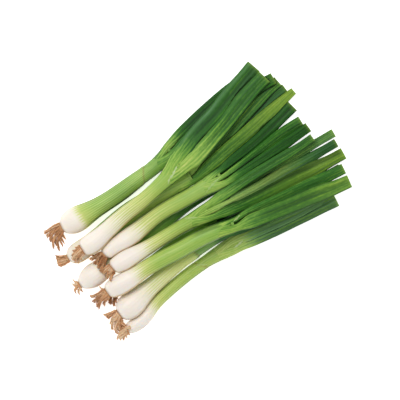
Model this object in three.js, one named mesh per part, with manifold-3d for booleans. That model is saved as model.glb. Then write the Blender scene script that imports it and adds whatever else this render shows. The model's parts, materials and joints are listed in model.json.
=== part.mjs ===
// A loose bunch of ten spring onions lying on a table: each has a tuft of dried roots, a bulb with its
// pale shank, and flattened hollow leaves trimmed to length. x runs from the roots to the trimmed leaf
// ends, y to the left and z up, in millimetres, with the origin under the middle of the whole bunch.
import * as THREE from "three";
import { mergeVertices } from "three/addons/utils/BufferGeometryUtils.js";
import Module from "manifold-3d";

const wasm = await Module();
wasm.setup();

// Driving dimensions
const sampleStep = 2.5; // spacing of the points at which a strand is laid down
const clearance = 0.5; // air between strands that lie on each other
const buttGap = 0.4; // air between a root plate, a shank and a leaf that grow from each other
const settledShare = 0.955; // a stem on the table keeps this share of its lower half height
const shankRoundness = 0.94; // height of a bulb or shank over its width
const bulbLength = 35; // from the root plate to where the plain shank begins
const mouthHeight = 10; // of the flattened shank where the leaves leave it
const leafEndHeight = 3.2; // of a trimmed leaf
const baseShares = { low: 0.34, crowded: 0.5, plain: 0.86 }; // of the mouth's height, for a leaf's base
const baseLifts = { low: -0.3, crowded: 0.22, plain: 0 }; // of a leaf's middle, in mouth heights
const leafPower = 1.8; // of a leaf's section: 2 is an ellipse, and less has sharper edges
const basePower = 0.5; // added to it where the leaf leaves the mouth
const leafBroadening = 1.08; // a leaf pressed flat in the bunch over its traced width
const leafThinning = 24; // length over which a leaf flattens by two thirds
const pocketDepth = 3; // of the hollow in a trimmed leaf end
const pocketShare = 0.58; // of the leaf's section that is hollow there
const shankStiffness = 0.0009; // how sharply a strand may bend down past what holds it up, in 1/mm
const leafStiffness = 0.003;
const fibreStiffness = 0.02;
const stubLength = 2.6; // of the root plate's corky stub
const stubShare = 0.94; // of the shank's first section that the stub fills
const stubTaper = 0.8;
const fibreRadius = 1.3;
const fibreTaper = 0.5; // tip radius over root radius
const fibreSpread = 0.62; // of the stub over which the fibres come out
const fibreSeat = 0.8; // how deep in the stub a fibre starts
const shortestFibre = 0.72; // over the longest
const fibreWander = 1.2; // spread of a fibre's tip to either side
const fibreBow = 3; // spread of the bow in a fibre
const tuftTolerance = 0.04; // slivers below this are joined where fibres cross
const shankSides = 14;
const shankRings = 14;
const shankCrowding = 1.35; // above 1, the rings stand closer at the bulb
const stubSides = 10;
const leafSides = 10;
const leafRings = 8;
const fibreSides = 3;
const fibreRings = 3;
const spotsAcross = 15; // at which a strand is held clear of what is under it

// Routes seen from above. A shank lists [x, y, width] from its root plate to the mouth of its sheath.
// A leaf lists [y, width] where it leaves the mouth, and then [x, y, width] to its trimmed end.
// A low leaf comes out of the mouth underneath its neighbours. Roots fan out to x = tip, between two y.
const lowerOnions = {
  a: {
    shank: [
      [-129, 57, 12.5], [-126, 56.6, 17.5], [-121, 56, 22.5], [-114, 55.2, 25.5], [-107, 54.4, 24.2],
      [-99, 53.8, 21.4], [-90, 53.1, 18.9], [-78, 52.3, 17.5], [-62, 51.9, 17.3], [-45, 52.4, 16.2],
      [-28, 52.9, 15], [-12, 53.7, 15.3], [5, 57, 16.8],
    ],
    leaves: {
      left: {
        base: [61.2, 8.2],
        route: [[20, 63.4, 10.4], [40, 67, 11], [62, 70.2, 11], [85, 72.6, 11], [114, 75, 10]],
      },
      right: {
        base: [52.8, 8],
        route: [[22, 55, 9.6], [42, 57.8, 10.4], [62, 60.8, 10.4], [86, 64.2, 10], [112, 68, 9.4]],
      },
    },
    roots: { tip: -148, from: 41.5, to: 64.5, fibres: 16 },
  },
  b: {
    shank: [
      [-141.5, 28, 9.5], [-139, 27.8, 14], [-135, 27.3, 18.3], [-130, 27, 20], [-123, 27, 19.6],
      [-114, 27.5, 18], [-104, 28.1, 17.8], [-90, 28.9, 18.8], [-78, 29.4, 20.2], [-64, 29.7, 20.8],
      [-50, 29.4, 20], [-35, 28.5, 18.8], [-20, 27, 17.8], [-7, 25.2, 16.8], [6, 24.1, 16.6],
    ],
    leaves: {
      middle: {
        low: true,
        base: [25, 6],
        route: [
          [25, 27.6, 6.6], [42, 30, 7.4], [60, 33, 8], [80, 37, 8], [100, 40, 8.2], [118, 42.4, 8.5],
          [134.2, 43.3, 8],
        ],
      },
      left: {
        base: [28.4, 7.8],
        route: [
          [24, 30.6, 8.4], [40, 33.4, 9], [60, 38.2, 9.5], [80, 43, 10], [100, 47.5, 10.5],
          [118, 51, 10.5], [132.3, 52.6, 10],
        ],
      },
      right: {
        pale: true,
        base: [20.2, 7.8],
        route: [
          [20, 21.3, 9.8], [40, 23.3, 11.8], [60, 25.2, 12.5], [80, 27.2, 13], [92, 28.9, 12.8],
          [104, 31.1, 11], [118, 33.2, 9.5], [130, 34.8, 8], [139.7, 35.8, 6.6],
        ],
      },
    },
    roots: { tip: -152, from: 25.5, to: 35.5, fibres: 10 },
  },
  f: {
    shank: [
      [-147, -0.2, 9], [-144.5, -0.3, 13.5], [-140.5, -0.4, 18], [-136, -0.5, 21.2], [-130, -0.6, 23],
      [-123, -0.6, 21.8], [-115, -0.3, 19.2], [-105, 0, 17], [-90, 0.3, 16], [-70, 1, 15.5],
      [-50, 2, 15], [-32, 3.3, 15], [-15, 4.8, 15], [0, 4.8, 15.5], [12, 4, 16],
    ],
    leaves: {
      left: {
        base: [8, 7.4],
        route: [[32, 7, 8], [60, 6.6, 9], [90, 6.8, 9], [122, 6.2, 8.4]],
      },
      right: {
        base: [0, 7.4],
        route: [[32, -0.8, 8], [60, -2.6, 8.4], [90, -3, 8.4], [124, -2.5, 7.4]],
      },
    },
    roots: { tip: -156, from: -7.5, to: 5.5, fibres: 11 },
  },
  j: {
    shank: [
      [-122, -28.5, 7.5], [-119.5, -28, 11], [-114, -27.2, 13], [-106, -26.6, 13.4], [-95, -26, 13.2],
      [-80, -24.8, 13.2], [-60, -23.6, 13.4], [-40, -24, 13.4], [-20, -26, 13.4], [2, -29, 14.4],
    ],
    leaves: {
      left: {
        base: [-25.6, 6.6],
        route: [[22, -31, 7], [42, -35, 7.6], [62, -38, 8], [90, -41.4, 8], [119, -44, 7.6]],
      },
      right: {
        base: [-32.6, 6.6],
        route: [[25, -37, 7], [50, -41.6, 7.6], [80, -47, 8], [110, -52, 8.5], [133.5, -54.6, 8]],
      },
    },
    roots: { tip: -133.5, from: -37, to: -31, fibres: 6 },
  },
  i: {
    shank: [
      [-133.5, -64, 10.5], [-131, -64.6, 12.2], [-126, -65.3, 13.4], [-118, -65.7, 13.6],
      [-109, -63.9, 12.8], [-100, -60.6, 12.2], [-90, -58, 12.2], [-78, -56.4, 12.2],
      [-62, -54.7, 12.4], [-45, -53.9, 12.3], [-28, -54, 12.4], [-12, -55, 14], [4, -56.6, 16.6],
    ],
    leaves: {
      left: {
        base: [-52.4, 8],
        route: [[20, -55, 9.4], [40, -59, 9.6], [60, -63, 9.5], [80, -66.6, 9], [104, -70, 9]],
      },
      right: {
        base: [-60.8, 8],
        route: [
          [20, -63.3, 9], [40, -67.2, 9.6], [60, -70.4, 10], [80, -73.4, 10.4], [95, -75.8, 11],
          [112, -78.2, 12.2],
        ],
      },
    },
    roots: { tip: -146.5, from: -69, to: -58, fibres: 12 },
  },
  h: {
    shank: [
      [-131.5, -47.5, 13.5], [-129, -47.4, 18], [-125, -47.1, 22.4], [-119, -46.6, 25], [-112, -46.1, 24],
      [-105, -44.9, 21.6], [-97, -43.7, 19], [-88, -42.7, 17.2], [-78, -41.7, 16], [-65, -40.3, 14.8],
      [-50, -39.2, 14], [-35, -38.7, 14], [-18, -37.9, 13.5], [0, -38.6, 14.2],
    ],
    leaves: {
      right: {
        base: [-42, 6.6],
        route: [[20, -46.4, 8], [50, -54, 9], [80, -61, 9.5], [105, -66, 9]],
      },
      left: {
        base: [-35.1, 6.6],
        route: [[30, -41, 8], [60, -46.5, 8.4], [90, -51.5, 8.4], [120, -56, 8]],
      },
    },
    roots: { tip: -146, from: -56, to: -40, fibres: 16 },
  },
};

const upperOnions = {
  d: {
    shank: [
      [-109.5, 9.8, 11], [-107, 10.2, 14], [-103, 10.7, 15.4], [-97, 11, 15.9], [-90, 10.8, 16.9],
      [-80, 10.1, 18.3], [-70, 10.3, 17.2], [-60, 11, 15.7], [-48, 11.9, 14.8], [-36, 11.8, 14.7],
      [-24, 10.7, 15.4], [-10, 9.2, 15.2], [5, 8, 15.6], [18, 6.9, 17.7], [31, 6, 20.6],
    ],
    leaves: {
      left: {
        base: [12.7, 7],
        route: [[50, 13.6, 9], [70, 15, 9.6], [90, 17.1, 9.8], [110, 20.4, 10.4], [130, 24.1, 11.4]],
      },
      middle: {
        base: [6, 5.8],
        route: [[50, 5.5, 6.3], [70, 6, 7.2], [90, 7, 8.2], [108, 7.5, 9.8], [128.3, 6.2, 10.6]],
      },
      right: {
        base: [-0.7, 7],
        route: [[50, -1.5, 7.2], [70, -2.2, 8.4], [90, -2.7, 9.4], [110, -2.6, 9], [130.8, -2.4, 9]],
      },
    },
    roots: { tip: -125, from: 4.5, to: 16.3, fibres: 13 },
  },
  e: {
    shank: [
      [-110.5, -5.4, 12], [-108, -5.3, 15], [-104, -5.8, 16.8], [-98, -6.4, 18.2], [-90, -7, 18],
      [-80, -8.1, 15.8], [-70, -8.9, 14.6], [-60, -9.4, 13.5], [-45, -10.1, 13.3], [-30, -11.2, 13.5],
      [-15, -12.8, 15.2], [0, -14.8, 19],
    ],
    leaves: {
      second: {
        low: true,
        base: [-12.4, 5.4],
        route: [
          [25, -14.8, 5], [50, -16.4, 5.2], [70, -17.4, 5.4], [90, -18, 5.6], [110, -19.2, 6.2],
          [128, -20, 7], [148.5, -21.7, 7.4],
        ],
      },
      first: {
        base: [-8.5, 6],
        route: [
          [12, -9, 7.6], [30, -9.3, 8.2], [50, -9.7, 7.8], [70, -10.6, 7.6], [90, -12, 7.6],
          [110, -13.3, 7.2], [128.2, -13.2, 6.8],
        ],
      },
      third: {
        base: [-14.8, 5.6],
        route: [
          [12, -17.3, 6.4], [30, -19.9, 7.6], [50, -22.9, 7.8], [70, -24.6, 8.4], [90, -25.8, 8.8],
          [110, -28.3, 7.8], [145, -31.3, 7.8],
        ],
      },
      fourth: {
        pale: true,
        base: [-21, 5.8],
        route: [
          [12, -24.1, 6.6], [22, -26.4, 7.4], [35, -28.8, 8], [50, -31.5, 9], [70, -34.2, 9.8],
          [90, -36.9, 10.4], [110, -40.2, 11], [144.8, -44.2, 10.6],
        ],
      },
    },
    roots: { tip: -121.5, from: -14, to: 2, fibres: 13 },
  },
  g: {
    shank: [
      [-128.8, -22.5, 12], [-126, -22.5, 15.5], [-121, -22.8, 18.5], [-114, -23.6, 19.8],
      [-107, -24.2, 19.4], [-98, -24.8, 17.4], [-89, -24.7, 15.9], [-78, -25.2, 16],
      [-66, -26.4, 16.4], [-52, -28.5, 16.4], [-38, -30.2, 16.2], [-25, -31.4, 16.4],
      [-10, -34, 15.6], [3, -37, 14.8], [14, -39.7, 15.2],
    ],
    leaves: {
      left: {
        base: [-35.9, 6],
        route: [
          [30, -37.3, 6.6], [50, -41, 8], [70, -45, 9], [90, -48.4, 10], [110, -52.4, 10.6],
          [136, -56.8, 9.4],
        ],
      },
      right: {
        base: [-43.2, 7.8],
        route: [
          [26, -45.6, 11], [40, -49, 12.2], [55, -52.4, 12.5], [70, -56, 12.5], [85, -59.2, 13],
          [100, -62.6, 13.4], [115, -66.5, 12.6], [133.5, -70.4, 11.5],
        ],
      },
    },
    roots: { tip: -147, from: -30, to: -17.8, fibres: 14 },
  },
  c: {
    shank: [
      [-124.5, 26.8, 12.5], [-122, 26.7, 16.3], [-118, 26.5, 19], [-112, 26.2, 20], [-105, 26.7, 18.7],
      [-97, 27.8, 17], [-85, 29.4, 16.2], [-70, 31.3, 15], [-55, 32, 14.5], [-40, 33, 14],
      [-25, 34.9, 14.8], [-12, 37.1, 16.2], [3, 40.6, 20.6],
    ],
    leaves: {
      middle: {
        low: true,
        base: [42, 7],
        route: [
          [20, 44.8, 7.6], [35, 49, 8.5], [50, 52.3, 9], [70, 56.8, 10], [90, 59.3, 10.6],
          [110, 59.4, 10.6], [130.3, 57.6, 10.4],
        ],
      },
      left: {
        base: [46, 9.4],
        route: [
          [12, 49.3, 9.4], [22, 53, 10.3], [35, 57, 11.3], [50, 60, 12], [65, 63.3, 12], [80, 68, 13],
          [95, 72, 13], [108, 75.5, 13.2], [121, 78.8, 13.8],
        ],
      },
      right: {
        base: [35.8, 9.4],
        route: [
          [14, 36.9, 11], [25, 38.2, 12], [40, 42, 12], [55, 45.8, 12.3], [70, 50, 12.8],
          [85, 55, 13.5], [100, 59.3, 14], [123.6, 64.3, 13.8],
        ],
      },
    },
    roots: { tip: -137.5, from: 19, to: 31, fibres: 12 },
  },
};

const shankMaterial = new THREE.MeshStandardMaterial({ color: 0xd8dba6, roughness: 0.42, metalness: 0 });
const leafMaterial = new THREE.MeshStandardMaterial({ color: 0x3f7038, roughness: 0.5, metalness: 0 });
const paleLeafMaterial = new THREE.MeshStandardMaterial({ color: 0x7f9a3a, roughness: 0.5, metalness: 0 });
const rootMaterial = new THREE.MeshStandardMaterial({ color: 0xb58a62, roughness: 0.85, metalness: 0 });

// Seeded random numbers from 0 to 1, the same at each run.
let seed = 20;
function random() {
  seed = (seed * 1664525 + 1013904223) % 4294967296;
  return seed / 4294967296;
}

// Samples a route of [x, y, width] at even steps. Each sample knows how far along it is and its
// direction on the table, and height gives its full height there.
function strandAlong(points, height, power) {
  const route = new THREE.CatmullRomCurve3(
    points.map(([x, y, width]) => new THREE.Vector3(x, y, width)),
    false,
    "centripetal",
  );
  const steps = Math.max(3, Math.ceil(route.getLength() / sampleStep));
  const places = route.getSpacedPoints(steps);
  const strand = [];
  let run = 0;
  places.forEach((place, i) => {
    const before = places[Math.max(i - 1, 0)];
    const after = places[Math.min(i + 1, steps)];
    const along = new THREE.Vector2(after.x - before.x, after.y - before.y).normalize();
    run += Math.hypot(place.x - before.x, place.y - before.y);
    strand.push({ x: place.x, y: place.y, half: place.z / 2, along, run });
  });
  for (const sample of strand) {
    sample.rise = height(sample, run) / 2;
    sample.power = power(sample);
  }
  return strand;
}

// Height of a section over its middle line, at a share of its half width to either side.
function crown(rise, power, share) {
  return rise * (1 - Math.abs(share) ** power) ** (1 / power);
}

// The highest point of a laid strand above a spot of the table, with the clearance round it.
function topOver(strand, x, y) {
  const last = strand.length - 1;
  const way = Math.sign(strand[last].x - strand[0].x);
  if ((x - strand[0].x) * way < -clearance || (x - strand[last].x) * way > clearance) {
    return -Infinity;
  }
  let low = 0;
  let high = last;
  while (high - low > 1) {
    const middle = (low + high) >> 1;
    if ((strand[middle].x - x) * way > 0) {
      high = middle;
    } else {
      low = middle;
    }
  }
  const share = THREE.MathUtils.clamp((x - strand[low].x) / (strand[high].x - strand[low].x), 0, 1);
  const at = (key) => THREE.MathUtils.lerp(strand[low][key], strand[high][key], share);
  const aside = ((y - at("y")) * Math.abs(strand[low].along.x)) / (at("half") + clearance);
  return Math.abs(aside) < 1 ? at("z") + crown(at("rise") + clearance, at("power"), aside) : -Infinity;
}

// How high each sample's middle has to be to clear the table and every laid strand under it.
function heightsNeeded(strand, laid) {
  const shares = Array.from({ length: spotsAcross }, (_, i) => (2 * i) / (spotsAcross - 1) - 1);
  return strand.map(({ x, y, half, rise, power, along }) => {
    let needed = rise * settledShare;
    for (const share of shares) {
      const spotX = x - along.y * half * share;
      const spotY = y + along.x * half * share;
      for (const other of laid) {
        needed = Math.max(needed, topOver(other, spotX, spotY) + crown(rise, power, share));
      }
    }
    return needed;
  });
}

// Spreads the heights needed along a strand of some stiffness, so that it arches over what holds it up.
function arched(strand, needed, stiffness) {
  const spread = strand.map(({ run }) =>
    Math.max(...needed.map((height, i) => height - stiffness * (run - strand[i].run) ** 2)),
  );
  return spread.map((height, i) => {
    const before = spread[Math.max(i - 1, 0)];
    const after = spread[Math.min(i + 1, spread.length - 1)];
    return Math.max((before + 2 * height + after) / 4, needed[i]);
  });
}

// The sample at a share of a strand's length, between its neighbours.
function sampleAt(strand, share) {
  const place = THREE.MathUtils.clamp(share, 0, 1) * (strand.length - 1);
  const low = Math.min(Math.floor(place), strand.length - 2);
  const part = place - low;
  const [a, b] = [strand[low], strand[low + 1]];
  const sample = { along: a.along.clone().lerp(b.along, part).normalize() };
  for (const key of ["x", "y", "z", "half", "rise", "power"]) {
    sample[key] = THREE.MathUtils.lerp(a[key], b[key], part);
  }
  return sample;
}

// Drops the doubled vertices and empty faces of a geometry, so that it is one closed surface.
function closed(geometry) {
  geometry.deleteAttribute("normal");
  geometry.deleteAttribute("uv");
  const merged = mergeVertices(geometry, 1e-3);
  const corners = merged.index.array;
  const kept = [];
  for (let i = 0; i < corners.length; i += 3) {
    const [a, b, c] = corners.subarray(i, i + 3);
    if (a !== b && b !== c && c !== a) {
      kept.push(a, b, c);
    }
  }
  merged.setIndex(kept);
  return merged;
}

// Turns a blank on the lathe and bends it onto a strand: the blank's height runs along the strand, and
// its radius is a share of the strand's section. No point goes below the table.
function bent(strand, profile, sides) {
  const blank = new THREE.LatheGeometry(
    profile.map(([radius, share]) => new THREE.Vector2(radius, share)),
    sides,
  );
  const place = blank.getAttribute("position");
  for (let i = 0; i < place.count; i++) {
    const [up, share, across] = [place.getX(i), place.getY(i), place.getZ(i)];
    const radius = Math.hypot(up, across);
    const angle = Math.atan2(up, across);
    const at = sampleAt(strand, share);
    const squared = (value) => Math.sign(value) * Math.abs(value) ** (2 / at.power);
    const aside = at.half * radius * squared(Math.cos(angle));
    const above = at.rise * radius * squared(Math.sin(angle));
    place.setXYZ(i, at.x - at.along.y * aside, at.y + at.along.x * aside, Math.max(at.z + above, 0));
  }
  return closed(blank);
}

function solidOf(geometry) {
  const mesh = new wasm.Mesh({
    numProp: 3,
    vertProperties: new Float32Array(geometry.getAttribute("position").array),
    triVerts: new Uint32Array(geometry.index.array),
  });
  return new wasm.Manifold(mesh);
}

function geometryOf(solid) {
  const { vertProperties, triVerts } = solid.getMesh();
  const geometry = new THREE.BufferGeometry();
  geometry.setAttribute("position", new THREE.BufferAttribute(vertProperties, 3));
  geometry.setIndex(new THREE.BufferAttribute(triVerts, 1));
  return geometry;
}

function makeMesh(name, geometry, material) {
  geometry.computeVertexNormals();
  const mesh = new THREE.Mesh(geometry, material);
  mesh.name = name;
  return mesh;
}

// A bulb and shank: round at the bulb, and flattening from the narrowest point to the mouth.
function shankStrand({ shank }) {
  const widths = shank.filter(([x]) => x > shank[0][0] + bulbLength);
  const neck = widths.reduce((best, station) => (station[2] < best[2] ? station : best));
  const mouth = shank[shank.length - 1];
  const height = ({ x, half }) => {
    const flattening = THREE.MathUtils.smoothstep(x, neck[0], mouth[0]);
    const flat = THREE.MathUtils.lerp(neck[2] * shankRoundness, mouthHeight, flattening);
    return x < neck[0] ? half * 2 * shankRoundness : Math.min(half * 2 * shankRoundness, flat);
  };
  return strandAlong(shank, height, () => 2);
}

// A leaf starts on the mouth's own plane, just clear of it, and flattens as it goes.
function leafStrand({ base, route, low }, mouth, crowded) {
  const [y, width] = base;
  const aside = (y - mouth.y) / mouth.along.x;
  const start = [
    mouth.x - mouth.along.y * aside + mouth.along.x * buttGap,
    mouth.y + mouth.along.x * aside + mouth.along.y * buttGap,
    width,
  ];
  const seat = low ? "low" : crowded ? "crowded" : "plain";
  const thickening = mouthHeight * baseShares[seat] - leafEndHeight;
  const nearMouth = ({ run }) => Math.exp(-run / leafThinning);
  const height = (sample) => leafEndHeight + thickening * nearMouth(sample);
  const power = (sample) => leafPower + basePower * nearMouth(sample);
  const broadened = route.map(([x, routeY, routeWidth]) => [x, routeY, routeWidth * leafBroadening]);
  const strand = strandAlong([start, ...broadened], height, power);
  strand[0].along.copy(mouth.along);
  strand.offset = mouthHeight * baseLifts[seat];
  return strand;
}

// Lays one onion's shank and leaves over what lies there already. The mouth is lifted until its leaves
// clear what is under them, and each leaf leaves it in its direction before it droops.
function layOnion(onion, laid) {
  const shank = shankStrand(onion);
  const mouth = shank[shank.length - 1];
  const leaves = Object.entries(onion.leaves);
  const crowded = leaves.some(([, leaf]) => leaf.low);
  const needed = heightsNeeded(shank, laid);
  const strands = leaves.map(([name, leaf]) => [name, leaf, leafStrand(leaf, mouth, crowded)]);
  for (const [, , strand] of strands) {
    const lifted = arched(strand, heightsNeeded(strand, laid), leafStiffness)[0] - strand.offset;
    needed[needed.length - 1] = Math.max(needed[needed.length - 1], lifted);
  }
  arched(shank, needed, shankStiffness).forEach((height, i) => {
    shank[i].z = height;
  });
  const slope = (mouth.z - shank[shank.length - 3].z) / (mouth.run - shank[shank.length - 3].run);
  const placed = [...laid];
  for (const [, , strand] of strands) {
    const clear = arched(strand, heightsNeeded(strand, placed), leafStiffness);
    strand.forEach((sample, i) => {
      const falling = mouth.z + strand.offset + slope * sample.run - leafStiffness * sample.run ** 2;
      sample.z = Math.max(clear[i], falling);
    });
    placed.push(strand);
  }
  laid.push(shank, ...strands.map(([, , strand]) => strand));
  return { shank, strands };
}

// The root tuft: a corky stub on the plate, and fibres that fan out of it and lie on what is below.
function rootTuft(shank, { tip, from, to, fibres }, laid) {
  const plate = shank[0];
  const back = plate.along.clone().negate();
  const behind = (distance, share) => [
    plate.x + back.x * distance - plate.along.y * plate.half * share,
    plate.y + back.y * distance + plate.along.x * plate.half * share,
  ];
  const section = {
    half: plate.half * stubShare,
    rise: plate.rise * stubShare,
    power: 2,
    along: back,
  };
  const stub = [buttGap, buttGap + stubLength].map((distance) => {
    const [x, y] = behind(distance, 0);
    return { ...section, x, y, z: plate.z };
  });
  let solid = solidOf(bent(stub, [[0, 0], [1, 0], [stubTaper, 1], [0, 1]], stubSides));
  const laidFibres = [];
  for (let i = 0; i < fibres; i++) {
    const across = (i + 0.5) / fibres;
    const share = (across * 2 - 1) * fibreSpread;
    const [startX, startY] = behind(buttGap + fibreSeat, share);
    const reach = THREE.MathUtils.lerp(shortestFibre, 1, random()) * (startX - tip);
    const endY = THREE.MathUtils.lerp(from, to, across) + (random() - 0.5) * fibreWander;
    const bow = (random() - 0.5) * fibreBow;
    const points = [0, 0.35, 0.7, 1].map((part) => [
      startX - reach * part,
      THREE.MathUtils.lerp(startY, endY, part) + (bow / 2) * Math.sin(part * Math.PI),
      THREE.MathUtils.lerp(1, fibreTaper, part) * fibreRadius * 2,
    ]);
    const fibre = strandAlong(points, ({ half }) => half * 2, () => 2);
    const lift = fibreSpread * (random() * 2 - 1) * Math.sqrt(1 - share ** 2);
    const startZ = plate.z + plate.rise * lift;
    const clear = arched(fibre, heightsNeeded(fibre, laid), fibreStiffness);
    fibre.forEach((sample, k) => {
      const falling = startZ - fibreStiffness * sample.run ** 2;
      sample.z = k === 0 ? Math.max(startZ, sample.rise) : Math.max(clear[k], falling);
    });
    const rings = Array.from({ length: fibreRings + 1 }, (_, k) => [1, k / fibreRings]);
    solid = solid.add(solidOf(bent(fibre, [[0, 0], ...rings, [0, 1]], fibreSides)));
    laidFibres.push(fibre);
  }
  laid.push(...laidFibres);
  return geometryOf(solid.simplify(tuftTolerance));
}

function shankGeometry(strand) {
  const rings = Array.from({ length: shankRings + 1 }, (_, i) => [1, (i / shankRings) ** shankCrowding]);
  return bent(strand, [[0, 0], ...rings, [0, 1]], shankSides);
}

// A leaf is solid but for the hollow in its trimmed end.
function leafGeometry(strand) {
  const hollow = 1 - pocketDepth / strand[strand.length - 1].run;
  const rings = Array.from({ length: leafRings + 1 }, (_, i) => [1, i / leafRings]);
  return bent(strand, [[0, 0], ...rings, [pocketShare, 1], [pocketShare, hollow], [0, hollow]], leafSides);
}

function makeOnion(letter, onion, laid) {
  const group = new THREE.Group();
  const { shank, strands } = layOnion(onion, laid);
  group.add(makeMesh(`onion_${letter}_bulb_and_shank`, shankGeometry(shank), shankMaterial));
  for (const [name, leaf, strand] of strands) {
    const material = leaf.pale ? paleLeafMaterial : leafMaterial;
    group.add(makeMesh(`onion_${letter}_leaf_${name}`, leafGeometry(strand), material));
  }
  group.addRoots = () => {
    group.add(makeMesh(`onion_${letter}_roots`, rootTuft(shank, onion.roots, laid), rootMaterial));
  };
  return group;
}

// The lower onions lie on the table with their roots. The upper ones lie on them, and their roots last.
function makeBunch() {
  const bunch = new THREE.Group();
  const laid = [];
  for (const [letter, onion] of Object.entries(lowerOnions)) {
    const group = makeOnion(letter, onion, laid);
    group.addRoots();
    bunch.add(group);
  }
  const upper = Object.entries(upperOnions).map(([letter, onion]) => makeOnion(letter, onion, laid));
  for (const group of upper) {
    group.addRoots();
    bunch.add(group);
  }
  const box = new THREE.Box3().setFromObject(bunch);
  const middle = box.getCenter(new THREE.Vector3());
  bunch.position.set(-middle.x, -middle.y, -box.min.z);
  return bunch;
}

export default makeBunch();
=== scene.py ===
import json
import math
import random

import bpy
import numpy as np
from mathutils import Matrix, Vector
from mathutils.bvhtree import BVHTree

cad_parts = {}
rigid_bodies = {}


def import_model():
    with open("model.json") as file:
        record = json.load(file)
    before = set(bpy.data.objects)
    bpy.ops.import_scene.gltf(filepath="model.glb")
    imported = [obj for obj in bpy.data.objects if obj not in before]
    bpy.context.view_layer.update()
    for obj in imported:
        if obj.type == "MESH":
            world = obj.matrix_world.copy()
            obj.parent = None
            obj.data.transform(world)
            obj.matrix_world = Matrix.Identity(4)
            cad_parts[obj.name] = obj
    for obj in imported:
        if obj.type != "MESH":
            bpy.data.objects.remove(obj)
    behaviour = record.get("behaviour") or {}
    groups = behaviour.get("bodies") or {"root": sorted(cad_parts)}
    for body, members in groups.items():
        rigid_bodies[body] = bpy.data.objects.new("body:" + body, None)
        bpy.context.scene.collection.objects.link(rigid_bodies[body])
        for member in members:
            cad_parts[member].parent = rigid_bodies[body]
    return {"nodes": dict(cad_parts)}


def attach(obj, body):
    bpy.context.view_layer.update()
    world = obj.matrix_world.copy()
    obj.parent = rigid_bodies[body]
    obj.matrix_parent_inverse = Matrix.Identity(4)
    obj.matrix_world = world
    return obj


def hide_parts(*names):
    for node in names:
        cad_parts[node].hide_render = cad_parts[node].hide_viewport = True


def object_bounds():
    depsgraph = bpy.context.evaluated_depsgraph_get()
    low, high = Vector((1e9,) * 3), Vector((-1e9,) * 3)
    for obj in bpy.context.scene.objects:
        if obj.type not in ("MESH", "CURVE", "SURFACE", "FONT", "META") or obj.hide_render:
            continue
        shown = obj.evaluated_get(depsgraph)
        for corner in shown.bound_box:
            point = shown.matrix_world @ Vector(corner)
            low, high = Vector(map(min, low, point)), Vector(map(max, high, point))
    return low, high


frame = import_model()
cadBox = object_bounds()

# A loose bunch of spring onions. Every stalk, leaf and root tuft is rebuilt finely round the rings of its
# CAD solid. Places are in millimetres on the layout sheet, which looks straight down on the bunch.
nodes = frame["nodes"]
mm = 0.001
sheetShift = np.array([3.552, -0.650])  # where the middle of the sheet lies in the frame
sheetTurn = 35  # degrees that the bunch is turned on the sheet
pressed = 1.045  # a solid keeps a clearance to its neighbours, soft stalks and leaves touch
boxGap = 0.01  # that every point keeps to the CAD box
overTable = 0.02
boxLow, boxHigh = (np.array(c) / mm for c in cadBox)
rng = random.Random(7)  # the stalks draw from it first, then the leaves

letters = sorted({name.split("_")[1] for name in nodes})
leavesOf = {k: sorted(n for n in nodes if n.startswith(f"onion_{k}_leaf_")) for k in letters}
print("frame read:", len(nodes), "solids")


# Small helpers

def smoothstep(low, high, value):
    t = np.clip((value - low) / (high - low), 0, 1)
    return t * t * (3 - 2 * t)


def hump(value, width):
    return np.exp(-((value / width) ** 2))


def circle(count):
    return np.arange(count) * 2 * math.pi / count


def unit(ways):
    return ways / np.linalg.norm(ways, axis=-1, keepdims=True)


def repeatEnd(rows, times):
    return np.concatenate([rows] + [rows[-1:]] * times)


def filledIn(looks, shared):
    # each look, with the shared values that it doesn't set itself
    return {name: {**shared, **look} for name, look in looks.items()}


# Reading a strand out of a solid

reading = {
    "fewest": 9,  # points in a ring, and neighbours of a pole
    "ringGap": 0.6,  # closer rings are the rim of the hollow end, in the last ring's plane
    "samples": 400,
}


def welded(node):
    mesh = nodes[node].data
    places = np.empty(len(mesh.vertices) * 3)
    mesh.vertices.foreach_get("co", places)
    keys = np.round(places.reshape(-1, 3) / mm, 2)
    spots, which = np.unique(keys, axis=0, return_inverse=True)
    mesh.calc_loop_triangles()
    corners = np.empty(len(mesh.loop_triangles) * 3, int)
    mesh.loop_triangles.foreach_get("vertices", corners)
    return spots, which.reshape(-1)[corners].reshape(-1, 3)


def ringsOf(node):
    # walks from the pole at the near end, ring by ring, to the far end
    spots, faces = welded(node)
    near = [set() for _ in spots]
    for a, b, c in faces:
        near[a] |= {b, c}
        near[b] |= {a, c}
        near[c] |= {a, b}
    poles = [i for i in range(len(spots)) if len(near[i]) >= reading["fewest"]]
    layer = sorted(poles, key=lambda i: spots[i][0])[:1]
    seen, found = set(layer), []
    while layer:
        layer = sorted({j for i in layer for j in near[i]} - seen)
        seen |= set(layer)
        if len(layer) < reading["fewest"]:
            break
        ring = spots[layer]
        flat = ring[:, :2] - ring[:, :2].mean(axis=0)
        side = np.linalg.svd(flat, full_matrices=False)[2][0]
        side *= np.sign(side[1])
        aside = flat @ side
        first, last = ring[aside.argmin()], ring[aside.argmax()]
        centre = (first + last) / 2
        if found and np.linalg.norm(centre[:2] - found[-1]["centre"][:2]) < reading["ringGap"]:
            break
        found.append({
            "centre": centre,
            "side": np.array([*side, 0.0]),
            "half": np.ptp(aside) / 2,
            "rise": ring[:, 2].max() - centre[2],
        })
    return found


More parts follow.
